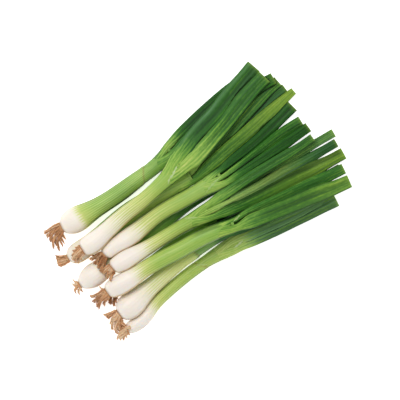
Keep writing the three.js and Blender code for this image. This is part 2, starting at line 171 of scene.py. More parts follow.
def cubicThrough(knots, values, at):
    knots, values, at = np.asarray(knots), np.asarray(values), np.asarray(at)
    slope = np.gradient(values, knots, axis=0)
    at = np.clip(at, knots[0], knots[-1])
    i = np.clip(np.searchsorted(knots, at, side="right") - 1, 0, len(knots) - 2)
    gap = knots[i + 1] - knots[i]
    t = (at - knots[i]) / gap
    if values.ndim > 1:
        gap, t = gap[..., None], t[..., None]
    start = (2 * t**3 - 3 * t**2 + 1) * values[i] + (t**3 - 2 * t**2 + t) * gap * slope[i]
    return start + (3 * t**2 - 2 * t**3) * values[i + 1] + (t**3 - t**2) * gap * slope[i + 1]


class Strand:
    # a bent tube: middle line, sideways direction, half width and half height at any run along it
    def __init__(self, rings, startRun=0.0):
        self.rings = rings
        self.plump = lambda run: pressed
        centres = np.array([r["centre"] for r in rings])
        steps = np.linalg.norm(np.diff(centres, axis=0), axis=1)
        self.runs = startRun + np.concatenate([[0], np.cumsum(steps)])
        self.length = self.runs[-1]

    def at(self, run, key):
        value = cubicThrough(self.runs, [r[key] for r in self.rings], run)
        return value * self.plump(run) if key == "half" else value

    def places(self, run, across, above):
        # across and above are shares of the section
        side = unit(self.at(run, "side"))
        place = self.at(run, "centre") + side * (across * self.at(run, "half"))[..., None]
        place[..., 2] = np.maximum(place[..., 2] + above * self.at(run, "rise"), overTable)
        return np.clip(place, boxLow + boxGap, boxHigh - boxGap)

    def pole(self, run):
        return self.places(np.array([run]), np.zeros(1), np.zeros(1))

    def runAt(self, sheetX):
        grid = np.linspace(self.runs[0], self.runs[-1], reading["samples"])
        return np.interp(sheetX, self.at(grid, "centre")[:, 0] - sheetShift[0], grid)


# Building meshes

skinValues = ("tone", "rim", "rib", "goldenShade", "lines", "shade", "dry", "bloom", "yellow", "cut")


def capped(rings):
    # the points of the rings, then a pole in the middle of the first and of the last ring
    return np.concatenate([rings.reshape(-1, 3), rings[:1].mean(axis=1), rings[-1:].mean(axis=1)])


def tubeFaces(rings, around):
    # quads from ring to ring, and a fan to each pole
    i, j = np.meshgrid(np.arange(rings - 1), np.arange(around), indexing="ij")
    k = (j + 1) % around
    faces = np.stack([i * around + j, i * around + k, (i + 1) * around + k, (i + 1) * around + j], -1)
    faces = faces.reshape(-1, 4).tolist()
    base, pole = (rings - 1) * around, rings * around
    faces += [[j, pole, (j + 1) % around] for j in range(around)][::-1]
    faces += [[base + (j + 1) % around, pole + 1, base + j] for j in range(around)][::-1]
    return faces


def addObject(name, data):
    thing = bpy.data.objects.new(name, data)
    bpy.context.scene.collection.objects.link(thing)
    return thing


def makePiece(name, places, faces, values, material, stands=()):
    mesh = bpy.data.meshes.new(name)
    mesh.from_pydata((places * mm).tolist(), [], faces)
    for key, value in values.items():
        kind = "FLOAT_VECTOR" if value.ndim > 1 else "FLOAT"
        layer = mesh.attributes.new(key, kind, "POINT")
        layer.data.foreach_set("vector" if value.ndim > 1 else "value", value.ravel())
    mesh.polygons.foreach_set("use_smooth", [True] * len(mesh.polygons))
    mesh.materials.append(material)
    mesh.update()
    piece = addObject(name, mesh)
    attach(piece, "root")
    if stands:
        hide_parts(*stands)


def makeSkin(name, places, around, coord, values, material, stands=()):
    # a tube of rings and its two poles: what the skin reads is 0 where no value is given
    filled = {key: np.zeros(len(places)) for key in skinValues}
    filled["strand"] = np.zeros((len(places), 3))
    for key, value in {**values, "strand": coord}.items():
        filled[key].reshape(-1)[: value.size] = value.ravel()
    makePiece(name, places, tubeFaces((len(places) - 2) // around, around), filled, material, stands)


# Finishes

def linear(*shades):
    # shades from 0 to 255, as a screen shows them
    parts = [shade / 255 for shade in shades]
    return [part / 12.92 if part <= 0.04045 else ((part + 0.055) / 1.055) ** 2.4 for part in parts] + [1]


class Nodes:
    # short hand for wiring a material
    def __init__(self, name):
        self.material = bpy.data.materials.new(name)
        self.material.use_nodes = True
        self.tree = self.material.node_tree
        self.shader = self.tree.nodes["Principled BSDF"]

    def add(self, kind, *inputs, settings=None, **named):
        node = self.tree.nodes.new(kind)
        for key, value in (settings or {}).items():
            setattr(node, key, value)
        for socket, value in zip(node.inputs, inputs):
            self.put(socket, value)
        for key, value in named.items():
            self.put(node.inputs[key], value)
        return node

    def put(self, socket, value):
        if isinstance(value, bpy.types.NodeSocket):
            self.tree.links.new(value, socket)
        else:
            socket.default_value = value

    def give(self, name, value):
        self.put(self.shader.inputs[name], value)

    def giveAll(self, values):
        for name, value in values.items():
            self.give(name, value)

    def math(self, operation, a, b=0.0, clamp=False):
        settings = {"operation": operation, "use_clamp": clamp}
        return self.add("ShaderNodeMath", a, b, settings=settings).outputs[0]

    def plus(self, a, b, clamp=False):
        return self.math("ADD", a, b, clamp)

    def times(self, a, b, clamp=False):
        return self.math("MULTIPLY", a, b, clamp)

    def swing(self, fac, amount):
        # half the amount up and down, about 0
        return self.times(self.math("SUBTRACT", fac, 0.5), amount)

    def value(self, name):
        return self.add("ShaderNodeAttribute", settings={"attribute_name": name}).outputs["Fac"]

    def vector(self, name):
        return self.add("ShaderNodeAttribute", settings={"attribute_name": name}).outputs["Vector"]

    def noise(self, place, scale, stretch=1, detail=3.0, rough=0.5):
        moved = self.add("ShaderNodeVectorMath", place, (1, 1, stretch), settings={"operation": "MULTIPLY"})
        named = {"Scale": scale, "Detail": detail, "Roughness": rough}
        return self.add("ShaderNodeTexNoise", Vector=moved.outputs[0], **named).outputs["Fac"]

    def ramp(self, fac, stops):
        node = self.add("ShaderNodeValToRGB", fac)
        band = node.color_ramp
        while len(band.elements) < len(stops):
            band.elements.new(0.5)
        for element, (place, colour) in zip(band.elements, stops):
            element.position = place
            element.color = colour
        return node.outputs["Color"]

    def span(self, fac, low, high, newLow=0.0, newHigh=1.0):
        node = self.add("ShaderNodeMapRange", fac, low, high, newLow, newHigh, settings={"clamp": True})
        return node.outputs[0]

    def mix(self, fac, a, b, blend="MIX"):
        node = self.add("ShaderNodeMix", fac, settings={"data_type": "RGBA", "blend_type": blend})
        self.put(node.inputs[6], a)
        self.put(node.inputs[7], b)
        return node.outputs[2]

    def bump(self, height, strength, distance, normal=None):
        node = self.add("ShaderNodeBump", Height=height, Strength=strength, Distance=distance)
        if normal is not None:
            self.put(node.inputs["Normal"], normal)
        return node.outputs["Normal"]


# From the ivory bulb through the yellow green of the shank to the deep green of the leaves
skinTones = [
    (0.00, linear(246, 237, 226)),
    (0.12, linear(237, 232, 205)),
    (0.25, linear(208, 213, 134)),
    (0.38, linear(178, 199, 98)),
    (0.52, linear(143, 183, 74)),
    (0.64, linear(100, 150, 50)),
    (0.78, linear(48, 108, 22)),
    (1.00, linear(20, 72, 10)),
]
yellowTones = [
    (0.3, linear(200, 214, 88)),
    (0.6, linear(136, 170, 52)),
    (0.8, linear(102, 138, 42)),
    (1.0, linear(70, 100, 32)),
]
# Two colours where a finish goes from one to the other
skinColours = {
    "bloom": (linear(150, 186, 138), linear(46, 106, 60)),
    "rim": (linear(206, 218, 172), linear(226, 232, 205)),
    "dry": (linear(176, 140, 78), linear(132, 104, 58)),
    "lines": (linear(212, 225, 140), linear(122, 166, 118)),
    # painted golden shade where bulbs touch their neighbours
    "goldenShade": (linear(186, 140, 52), linear(214, 180, 84)),
    "shade": (0.05, 0.1, 0.08, 1),
    "cut": linear(150, 178, 74),
}


def skinMaterial(name, look):
    n = Nodes(name)
    strand, tone = n.vector("strand"), n.value("tone")
    streaks, patches, mottle, uneven = (
        n.noise(strand, *look[key]) for key in ("streaks", "patches", "mottle", "ribUneven"))
    wave = n.math("SINE", n.plus(n.value("rib"), n.times(uneven, 5.0)))
    ribs = n.times(n.plus(n.span(wave, *look["ribEdge"]), uneven), 0.62)
    restless = n.span(tone, 0.02, 0.3, look["bulbCalm"], 1.0)
    # the ribs stand out most where the green begins
    starting = n.times(n.span(tone, 0.04, 0.16), n.span(tone, 0.5, 0.3, look["ribFade"], 1.0))
    streakShift = n.times(n.swing(streaks, look["streakTone"]), restless)
    ribShift = n.times(n.swing(ribs, look["ribTone"]), starting)
    mottleShift = n.swing(mottle, n.times(restless, look["mottleTone"]))
    patchShift = n.swing(patches, n.times(restless, look["patchTone"]))
    shifted = n.plus(n.plus(tone, n.plus(streakShift, ribShift)), mottleShift)
    colour = n.ramp(n.plus(shifted, patchShift, clamp=True), skinTones)
    # yellowing leaves
    yellow = n.times(n.value("yellow"), n.span(patches, 0.3, 0.6, 0.7, 1.0))
    colour = n.mix(yellow, colour, n.ramp(n.math("SUBTRACT", shifted, 0.1), yellowTones))
    # waxy bluish bloom, thicker along some streaks; on some leaves the same colour makes a painted highlight
    # along one ridge
    waxy = n.times(n.value("bloom"), n.span(streaks, 0.35, 0.68, 0.25, 1.0), clamp=True)
    colour = n.mix(waxy, colour, n.mix(n.span(tone, 0.5, 1.0), *skinColours["bloom"]))
    # pale dry membrane along the mouths of the sheaths, and brown where they dried
    colour = n.mix(n.value("rim"), colour, n.mix(n.span(ribs, 0.3, 0.7), *skinColours["rim"]))
    colour = n.mix(n.value("dry"), colour, n.mix(streaks, *skinColours["dry"]))
    # pale lines that follow the ribs
    lines = n.times(n.value("lines"), n.span(ribs, 0.5, 0.9))
    colour = n.mix(lines, colour, n.mix(n.span(tone, 0.5, 0.62), *skinColours["lines"]))
    # painted golden shade where bulbs touch what lies beside them
    colour = n.mix(n.value("goldenShade"), colour, n.mix(streaks, *skinColours["goldenShade"]))
    # painted shade along the edges, down in the furrows and in the crevices
    shade = n.times(n.value("shade"), n.span(streaks, 0.3, 0.6, 0.75, 1.0))
    colour = n.mix(shade, colour, skinColours["shade"], "MULTIPLY")
    n.give("Base Color", n.mix(n.value("cut"), colour, skinColours["cut"]))
    rough = n.plus(n.times(patches, 0.6), n.times(waxy, 0.5))
    n.give("Roughness", n.span(rough, 0.2, 1.0, *look["roughness"]))
    coarse = n.bump(n.plus(ribs, n.times(streaks, 0.6)), look["ribBump"], 0.0006)
    n.give("Normal", n.bump(n.noise(strand, *look["fine"]), look["fineBump"], 0.0002, coarse))
    n.giveAll(look["even"])
    return n.material


# A noise is given by its scale, its stretch along the strand, its detail and its roughness
shankFinish = {
    "streaks": (0.42, 0.06, 4, 0.6),
    "streakTone": 0.16,
    "ribUneven": (0.5, 0.04, 2, 0.4),
    "ribEdge": (-0.1, 0.8),
    "ribFade": 0.3,
    "ribTone": 0.18,
    "ribBump": 0.28,
    "mottle": (0.6, 0.3, 3, 0.6),
    "mottleTone": 0.06,
    "patches": (0.06, 0.25, 4, 0.55),
    "patchTone": 0.12,
    "bulbCalm": 0.12,
    "fine": (4.0, 0.35, 2, 0.5),
    "fineBump": 0.25,
    "roughness": (0.38, 0.6),
    "even": {
        "Subsurface Weight": 0.35,
        "Subsurface Radius": (1.0, 0.75, 0.45),
        "Subsurface Scale": 0.0022,
        "Specular IOR Level": 0.3,
        "Coat Weight": 0.03,
        "Coat Roughness": 0.28,
    },
}
leafFinish = {
    "streaks": (0.46, 0.045, 4, 0.6),
    "streakTone": 0.5,
    "ribUneven": (0.6, 0.03, 2, 0.4),
    "ribEdge": (-0.6, 0.9),
    "ribFade": 1.0,
    "ribTone": 0.16,
    "ribBump": 0.55,
    "mottle": (0.7, 0.3, 3, 0.6),
    "mottleTone": 0.27,
    "patches": (0.05, 0.25, 4, 0.55),
    "patchTone": 0.16,
    "bulbCalm": 1.0,
    "fine": (3.5, 0.35, 2, 0.5),
    "fineBump": 0.3,
    "roughness": (0.4, 0.66),
    "even": {
        "Subsurface Weight": 0.04,
        "Subsurface Radius": (0.5, 1.0, 0.3),
        "Subsurface Scale": 0.0008,
        "Specular IOR Level": 0.14,
    },
}
shankSkin = skinMaterial("stalkSkin", shankFinish)
leafSkin = skinMaterial("leafSkin", leafFinish)

rootFinish = {
    "grain": (1.6, 0.25, 4, 0.6),
    "blotch": (0.35, 1, 3, 0.5),
    "tones": [
        (0.05, linear(140, 92, 58)),
        (0.35, linear(202, 147, 101)),
        (0.65, linear(232, 186, 141)),
        (0.95, linear(248, 226, 192)),
    ],
    "blotchColour": linear(158, 106, 70),
    "even": {"Subsurface Weight": 0.1, "Subsurface Scale": 0.0008, "Specular IOR Level": 0.3},
}


def rootMaterial(name, look):
    n = Nodes(name)
    strand = n.vector("strand")
    grain = n.noise(strand, *look["grain"])
    colour = n.plus(n.times(n.value("tint"), 0.8), n.times(grain, 0.25), clamp=True)
    blotch = n.span(n.noise(strand, *look["blotch"]), 0.5, 0.75, 0, 0.35)
    n.give("Base Color", n.mix(blotch, n.ramp(colour, look["tones"]), look["blotchColour"]))
    n.give("Roughness", n.span(grain, 0.3, 0.7, 0.62, 0.9))
    n.give("Normal", n.bump(grain, 0.6, 0.0004))
    n.giveAll(look["even"])
    return n.material


rootSkin = rootMaterial("driedRoots", rootFinish)
print("finishes made")

# Stalks: tones run from 0, ivory, to 1, deep green, against x on the sheet
stalkShared = {
    "ribs": 22,
    "bloom": 0.1,
    "sink": 0.3,  # of the section, where the sheath runs out between its leaves
    "swell": [(0, 1)],  # plumpness against x on the sheet
    "crease": None,  # x where the oldest sheath ends on its left and right, and the step down from it
    "shadedSide": None,  # painted shade on one side: how much, which side, between which shares of it, x where it starts and where it ends
    # how strong the painted golden shade is along the stalk's sides
    "goldenShade": 1.0,
    "lines": 0,
}
stalks = filledIn({
    "a": {"tones": [(-113, 0.0), (-109, 0.14), (-103, 0.36), (-90, 0.5), (-62, 0.54), (-34, 0.52),
                    (-26, 0.56), (6, 0.6)],
          "crease": (-27, -37, 0.05), "bloom": 0.15, "ribs": 28, "goldenShade": 0.2, "lines": 0.6,
          "shadedSide": (0.22, -1, (0.1, 0.25), (-96, -76), (-36, -50))},
    "b": {"tones": [(-136, 0.04), (-122, 0.1), (-108, 0.3), (-92, 0.5), (-60, 0.41), (-20, 0.45), (6, 0.52)],
          "sink": 0.1},
    "c": {"tones": [(-100, 0.0), (-86, 0.1), (-70, 0.22), (-48, 0.31), (-28, 0.46), (3, 0.5)],
          "bloom": 0.05},
    "d": {"tones": [(-84, 0.0), (-70, 0.12), (-58, 0.26), (-38, 0.37), (-10, 0.46), (31, 0.52)],
          "bloom": 0.12, "ribs": 20},
    "e": {"tones": [(-84, 0.0), (-75, 0.1), (-66, 0.24), (-48, 0.36), (-20, 0.48), (0, 0.52)],
          "bloom": 0.05, "ribs": 20},
    "f": {"tones": [(-128, 0.0), (-112, 0.14), (-95, 0.45), (-70, 0.6), (-45, 0.62), (-24, 0.74), (12, 0.8)],
          "sink": 0.05, "goldenShade": 0.4},
    "g": {"tones": [(-102, 0.0), (-94, 0.14), (-86, 0.26), (-70, 0.44), (-40, 0.47), (-10, 0.52), (14, 0.57)],
          "bloom": 0.05, "shadedSide": (0.45, 1, (0.25, 0.6), (-34, -16), (8, -4))},
    "h": {"tones": [(-110, 0.0), (-100, 0.08), (-88, 0.2), (-70, 0.25), (-45, 0.31), (-37, 0.35),
                    (-34, 0.57), (-14, 0.62), (-6, 0.88), (0, 0.94)],
          "crease": (-38, -33, 0.06), "bloom": 0.4, "lines": 0.5, "goldenShade": 0.6, "sink": 0.05,
          "swell": [(-50, 1), (-15, 1.15), (0, 1.25)]},
    "i": {"tones": [(-110, 0.0), (-103, 0.1), (-94, 0.26), (-82, 0.36), (-60, 0.41), (-30, 0.42), (4, 0.45)],
          "crease": (-42, -32, 0.02), "ribs": 20, "goldenShade": 0.1,
          "swell": [(-30, 1), (-12, 1.12), (-3, 1.12), (4, 1.0)]},
    "j": {"tones": [(-118, 0.04), (-108, 0.2), (-90, 0.5), (-60, 0.56), (2, 0.58)],
          "ribs": 20, "sink": 0.05},
}, stalkShared)
stalkShape = {
    "around": 144,
    "bulbLength": 34,
    "bulbSpacing": 0.8,  # between the rings of the bulb
    "spacing": 1.5,
    "ribHeight": 0.0055,  # of the section
    "ribsFrom": (10, 40),
    "rimReach": 26,  # over which the rings turn towards a slanting rim
    "creaseRows": (-0.4, -0.02, 0.12, 0.5),  # rings about the crease, in place of those near it
    "creaseGap": 0.6,
    "creaseFade": 12,
    "seam": (0.45, 0.9),  # how brown the crease is, and how wide
    "sinkLength": 20,
    "baseRounding": 0.2,
    "baseLength": 1.4,
    "wall": ((0.0, 0.93), (3.0, 0.88)),  # of the open end: how far back, and its share of the section
    "dryBase": (0.5, 0.2, 2.2),  # how brown the root plate is, and the run over which that fades
    # painted golden shade and painted shade on the sides: how much there is of each, between which shares
    # towards its side, and between which tones
    "goldenShadeRight": (0.8, (0.76, 1.0), (0.4, 0.16)),
    "goldenShadeLeft": (0.4, (0.9, 1.0), (0.3, 0.1)),
    "shadeRight": (0.35, (0.75, 1.0), (0.3, 0.5)),
    "lineTones": (0.08, 0.2, 0.5, 0.62),
    "bloomTones": (0.3, 0.5),
    "coordSize": 8,
    "coordGap": 300,  # from one stalk to the next, in the space of the noises
}


def toneAt(letter, x):
    return np.interp(x - sheetShift[0], *zip(*stalks[letter]["tones"]))


def sideTint(look, side, tone):
    most, shares, tones = look
    return most * smoothstep(*shares, side) * smoothstep(*tones, tone)


def makeStalk(letter):
    look, shape = stalks[letter], stalkShape
    node = f"onion_{letter}_bulb_and_shank"
    strand = Strand(ringsOf(node))
    swellAt, swell = zip(*look["swell"])
    swellRuns = [strand.runAt(x) for x in swellAt]
    strand.plump = lambda run: pressed * np.interp(run, swellRuns, swell)
    end = strand.length
    turn = circle(shape["around"]) - math.pi / 2
    across, above = np.cos(turn), np.sin(turn)
    bulb = np.arange(0.0, shape["bulbLength"], shape["bulbSpacing"])
    rows = np.concatenate([bulb, np.arange(shape["bulbLength"], end, shape["spacing"]), [end]])
    slant = pull = stepDown = seam = np.zeros((1, 1))
    if look["crease"]:
        left, right, step = look["crease"]
        leftShare = (across + 1) / 2
        slant = strand.runAt(left) * leftShare + strand.runAt(right) * (1 - leftShare)
        creaseRow = slant.mean()
        slant = slant - creaseRow
        kept = rows[np.abs(rows - creaseRow) > shape["creaseGap"]]
        rows = np.sort(np.concatenate([kept, creaseRow + np.array(shape["creaseRows"])]))
        past = (rows - creaseRow)[:, None]
        pull = np.cos(np.clip(past / shape["rimReach"], -1, 1) * math.pi / 2) ** 2
        stepDown = step * np.exp(-np.maximum(past, 0) / shape["creaseFade"]) * (past > 0)
        seam = shape["seam"][0] * hump(past, shape["seam"][1])
    grid = rows[:, None] + pull * slant + np.zeros(len(turn))
    phase = rng.uniform(0, 6)
    wave = np.sin(look["ribs"] * turn + phase) + 0.6 * np.sin((look["ribs"] - 9) * turn + 2 * phase)
    size = 1 + shape["ribHeight"] * (wave - 1.6) * smoothstep(*shape["ribsFrom"], grid)
    size -= shape["baseRounding"] * np.exp(-grid / shape["baseLength"])
    size -= stepDown
    size -= look["sink"] * smoothstep(end - shape["sinkLength"], end, grid)
    # the wall of the sheath turns in at its end, and runs back inside
    rings = [strand.places(grid, across * size, above * size)]
    for back, share in shape["wall"]:
        rings.append(strand.places(grid[-1:] - back, across * share, above * share))
    rings = np.concatenate(rings)
    along = repeatEnd(grid, len(shape["wall"]))
    # tone, painted golden shade at the edges, lines, painted shade on the sides and dried places
    tone = toneAt(letter, rings[:, :, 0])
    leftward, upward = (np.broadcast_to(part, tone.shape) for part in (across, above))
    # painted golden shade on both sides of the bulb, and painted shade on its right side
    goldenShade = sideTint(shape["goldenShadeRight"], -leftward, tone) + sideTint(shape["goldenShadeLeft"], leftward, tone)
    shade = sideTint(shape["shadeRight"], -leftward, tone)
    # painted shade along one side of some stalks
    if look["shadedSide"]:
        amount, side, shares, starts, ends = look["shadedSide"]
        sheetX = rings[:, :, 0] - sheetShift[0]
        inside = smoothstep(*starts, sheetX) * smoothstep(*ends, sheetX)
        shade += amount * smoothstep(*shares, side * leftward) * inside
    brown, brownStart, brownEnd = shape["dryBase"]
    dry = brown * (1 - smoothstep(brownStart, brownEnd, along))
    dry[: len(rows)] += seam
    lineLow, lineFull, lineFade, lineEnd = shape["lineTones"]
    lines = smoothstep(lineLow, lineFull, tone) * smoothstep(lineEnd, lineFade, tone)
    values = {
        "tone": np.append(tone, [0, 1]),  # with those of the poles
        "rib": look["ribs"] * turn * np.ones_like(tone),
        "goldenShade": goldenShade * look["goldenShade"],
        "lines": look["lines"] * lines,
        "shade": shade,
        "dry": dry,
        "bloom": look["bloom"] * smoothstep(*shape["bloomTones"], tone),
    }
    runs = along + shape["coordGap"] * letters.index(letter)
    coord = np.stack([leftward * shape["coordSize"], upward * shape["coordSize"], runs], -1)
    poles = strand.pole(0.0), strand.pole(grid[-1].min() - shape["wall"][-1][0])
    places = np.concatenate([rings.reshape(-1, 3), *poles])
    makeSkin(f"stalk_{letter}", places, len(turn), coord, values, shankSkin, [node])
    return strand


strands = {letter: makeStalk(letter) for letter in letters}
print("stalks made")

# Leaves: tones are those at the mouth and further on, and the run over which they turn. The channel is a
# furrow along the top, at a share of the half width, and its depth is a share of the leaf's height.
leafShared = {
    "bloom": 0.1,
    "end": None,  # tone at the trimmed end, and the length of leaf that turns to it
    "yellow": (0.0, 0.0),  # at the mouth and at the end
    "wide": (1, 1),  # how much wider the leaf is at the mouth, and over what length
    "middle": 0.1,  # how much wider it is between its ends
    "lift": (0, 1),  # over its solid, and up to where
    "lines": 0.05,
    "ridgeHighlight": 0.0,  # painted highlight along one ridge, in the pale colour of the bloom
    "edge": 0.6,  # shade along its right edge
    # painted shade along its left edge
    "leftEdgeShade": 0.15,
    "shadeLeft": 0.0,
    "foldRight": (0.3, 0.0),  # shade past a fold: where it lies across the leaf, and how much
    "dim": 1,  # how much the crevices darken it
}
leafLooks = filledIn({
    "a_left": {"tones": (0.48, 0.92, 34), "channel": (0.2, 0.3), "wide": (1.3, 30), "edge": 0.4},
    "a_right": {"tones": (0.66, 0.97, 26), "channel": (-0.2, 0.2), "wide": (1.35, 30)},
    "b_left": {"tones": (0.46, 0.7, 60), "end": (0.78, 60), "channel": (-0.3, 0.3), "wide": (1.3, 20),
               "bloom": 0.12},
    "b_middle": {"tones": (0.6, 0.88, 40), "channel": (0.1, 0.2), "wide": (2.2, 30), "lift": (5, 70),
                 "bloom": 0.3},
    "b_right": {"tones": (0.74, 0.77, 90), "end": (0.7, 40), "channel": (0.3, 0.15), "bloom": 0.05,
                "yellow": (0.1, 0.85)},
    "c_left": {"tones": (0.52, 0.84, 40), "channel": (-0.25, 0.4), "wide": (1.4, 22), "bloom": 0.22,
               "ridgeHighlight": 1.0},
    "c_middle": {"tones": (0.76, 0.95, 30), "end": (0.82, 60), "channel": (0.3, 0.3), "wide": (1.8, 40),
                 "lift": (5, 90), "bloom": 0.05},
    "c_right": {"tones": (0.42, 0.77, 70), "channel": (-0.1, 0.28), "wide": (1.35, 22), "bloom": 0.12,
                "edge": 0.9, "leftEdgeShade": 1.0},
    "d_left": {"tones": (0.72, 0.95, 16), "channel": (0.1, 0.35), "bloom": 0.06, "leftEdgeShade": 1.0},
    "d_middle": {"tones": (0.54, 0.82, 34), "channel": (-0.3, 0.3), "bloom": 0.08},
    "d_right": {"tones": (0.58, 0.93, 30), "channel": (0.2, 0.25), "bloom": 0.03, "leftEdgeShade": 0.7},
    "e_first": {"tones": (0.5, 0.78, 50), "channel": (0.2, 0.3), "wide": (1.15, 40), "bloom": 0.12},
    "e_second": {"tones": (0.57, 0.71, 60), "end": (0.66, 40), "channel": (0.4, 0.3), "wide": (1.6, 50),
                 "lift": (3, 110), "bloom": 0.3, "leftEdgeShade": 0.7},
    "e_third": {"tones": (0.49, 0.54, 70), "end": (0.95, 74), "channel": (-0.3, 0.3), "wide": (1.25, 40),
                "middle": 0.22, "bloom": 0.42, "edge": 0.5, "leftEdgeShade": 0.6},
    "e_fourth": {"tones": (0.62, 0.8, 40), "channel": (0.5, 0.35), "wide": (1.2, 30), "middle": 0.22,
                 "bloom": 0.03, "yellow": (0.0, 0.75), "edge": 0.9, "shadeLeft": 0.5},
    "f_left": {"tones": (0.84, 0.96, 30), "channel": (0.1, 0.2)},
    "f_right": {"tones": (0.84, 0.96, 30), "channel": (-0.1, 0.2)},
    "g_left": {"tones": (0.7, 0.78, 60), "channel": (-0.2, 0.3), "bloom": 0.08, "leftEdgeShade": 1.0},
    "g_right": {"tones": (0.53, 0.78, 40), "end": (0.7, 60), "channel": (0.25, 0.35), "bloom": 0.14,
                "yellow": (0.1, 0.3), "leftEdgeShade": 0.8},
    "h_left": {"tones": (0.8, 0.95, 30), "channel": (0.2, 0.2), "wide": (1.4, 30)},
    "h_right": {"tones": (0.8, 0.92, 30), "channel": (0.0, 0.2), "wide": (1.5, 30), "bloom": 0.4},
    "i_left": {"tones": (0.45, 0.7, 34), "channel": (-0.3, 0.2), "wide": (1.4, 60), "lift": (7.5, 150),
               "bloom": 0.6, "edge": 0.1, "lines": 0.6, "dim": 0.2},
    "i_right": {"tones": (0.47, 0.72, 44), "channel": (0.3, 0.3), "wide": (1.2, 20), "bloom": 0.5,
                "edge": 0.3, "leftEdgeShade": 0.8, "foldRight": (0.3, 0.45), "lines": 0.6, "dim": 0.4},
    "j_left": {"tones": (0.84, 0.96, 30), "channel": (0.1, 0.2), "wide": (1.5, 20), "bloom": 0.2},
    "j_right": {"tones": (0.84, 0.96, 30), "channel": (-0.1, 0.2), "wide": (1.5, 20), "bloom": 0.2},
}, leafShared)
leafShape = {
    "around": 52,
    "spacing": 1.7,
    "lastRows": (0.6, 0.15, 0.0),  # rings just short of the trimmed end
    "lastGap": 0.9,
    "rootedLength": 26,  # that a leaf runs back into its sheath
    "rootedSteps": 7,
    "rootedSize": 0.91,  # of the sheath's section, where it starts
    "thinRise": 2,  # a leaf flatter than this at the mouth starts beside it, half as far back
    "thinSize": 0.8,
    "power": (1.8, 0.5, 24),  # of the outline, 2 is an oval: all along, added at the mouth, over what length
    "roundUntil": (-9, 1),
    "channelWidth": 0.3,
    "channelFrom": (12, 45),  # the furrow deepens over this run from the mouth
    "channelDrift": (0.12, 37),
    "otherChannel": (0.9, 0.18, 0.4),  # on the other side: its place and depth against the first, its width
    "underDent": 0.4,
    "ribs": 15,
    "ribHeight": 0.02,
    "ribsFrom": 20,
    "wall": 0.14,  # of the half width, at the trimmed end
    "hollow": (0.0, 1.2, 6.0, 14),  # how far back the rings of the wall lie
    "hollowCut": (1, 0.8, 0.2, 0),  # how pale they are
    "cutEdge": (0.55, 1.2),
    "furrowShade": 1.1,
    "coordSize": 6,
    "coordRise": 3,
    "coordGap": 210,
}

# Runs from the mouth, shares across the leaf or tones between which each of these sets in
leafTints = {
    "turnFrom": -6,
    "endDone": 8,  # short of the trimmed end
    "blend": (-14, 4),
    "bloom": (-5, 35),
    "ridgeHighlight": (5, 40),
    "ridgeHighlightAcross": (0.7, 0.15),
    "yellow": (20, 10),
    "edge": (0.74, 1),
    "leftEdgeShade": (0.84, 1),
    "shadeLeft": (0.1, 0.8),
    "foldWidth": 0.08,
    "shade": (4, 30),
    "shadeTones": (0.35, 0.6),
}


def rootedRings(base, stalk):
    # the leaf's section widens backwards into the whole sheath
    shape = leafShape
    thin = base["rise"] < shape["thinRise"]
    mouthCentre, mouthHalf = stalk.at(stalk.length, "centre"), stalk.at(stalk.length, "half")
    offset = (base["centre"] - mouthCentre) @ stalk.at(stalk.length, "side")
    lift = base["centre"][2] - mouthCentre[2]
    rings = []
    for k in range(shape["rootedSteps"], 0, -1):
        share = k / shape["rootedSteps"]
        run = stalk.length - share * shape["rootedLength"] * (0.5 if thin else 1)
        spread = 0 if thin else float(smoothstep(0, 1, share))
        size = 1 - (1 - shape["rootedSize"]) * float(smoothstep(0.35, 1, share))
        size *= shape["thinSize"] if thin else 1
        side, half, rise = (stalk.at(run, key) for key in ("side", "half", "rise"))
        centre = stalk.at(run, "centre") + side * offset * (1 - spread) * half / mouthHalf
        centre[2] += lift * (1 - spread)
        rings.append({
            "centre": centre,
            "side": side,
            "half": float(base["half"] * (1 - spread) + half * spread) * size,
            "rise": float(base["rise"] * (1 - spread) + rise * spread) * size,
        })
    return rings


def leafStrand(own, stalk, look):
    reach = 0.0
    lift, liftEnd = look["lift"]
    for before, ring in zip(own[:1] + own, own):
        reach += np.linalg.norm(ring["centre"] - before["centre"])
        lifted = smoothstep(-10, 10, reach) * smoothstep(liftEnd, liftEnd * 0.4, reach)
        ring["centre"][2] += lift * float(lifted)
    behind = rootedRings(own[0], stalk)
    centres = [ring["centre"] for ring in behind + own[:1]]
    strand = Strand(behind + own, -sum(np.linalg.norm(b - a) for a, b in zip(centres, centres[1:])))
    wide, wideLength = look["wide"]

    def plump(run):
        near = (wide - 1) * np.exp(-np.maximum(run, 0) / wideLength) * smoothstep(-12, 3, run)
        along = smoothstep(0, 20, run) * smoothstep(strand.length - 12, strand.length - 34, run)
        return pressed * (1 + near + look["middle"] * along)

    strand.plump = plump
    return strand


def leafSection(grid, look):
    # how far across and above its middle line each point lies, and how deep the furrows are there
    shape = leafShape
    turn = circle(shape["around"]) - math.pi / 2
    power, mouthPower, mouthLength = shape["power"]
    power = power + mouthPower * np.exp(-np.maximum(grid, 0) / mouthLength)
    power = 2 + (power - 2) * smoothstep(*shape["roundUntil"], grid)
    across = np.sign(np.cos(turn)) * np.abs(np.cos(turn)) ** (2 / power)
    above = np.sign(np.sin(turn)) * np.abs(np.sin(turn)) ** (2 / power)
    place, depth = look["channel"]
    drift, driftLength = shape["channelDrift"]
    drift = drift * np.sin(grid / driftLength + rng.uniform(0, 6))
    otherPlace, otherWidth, otherDepth = shape["otherChannel"]
    dent = hump(across - place - drift, shape["channelWidth"])
    dent += otherDepth * hump(across + place * otherPlace + drift, otherWidth)
    dent *= depth * smoothstep(*shape["channelFrom"], grid)
    ribs = np.sin(shape["ribs"] * across + rng.uniform(0, 6)) - 1
    ribs *= shape["ribHeight"] * np.clip(grid / shape["ribsFrom"], 0, 1)
    above = np.where(above > 0, above * (1 - dent + ribs), above * (1 - shape["underDent"] * dent))
    return across, above, dent


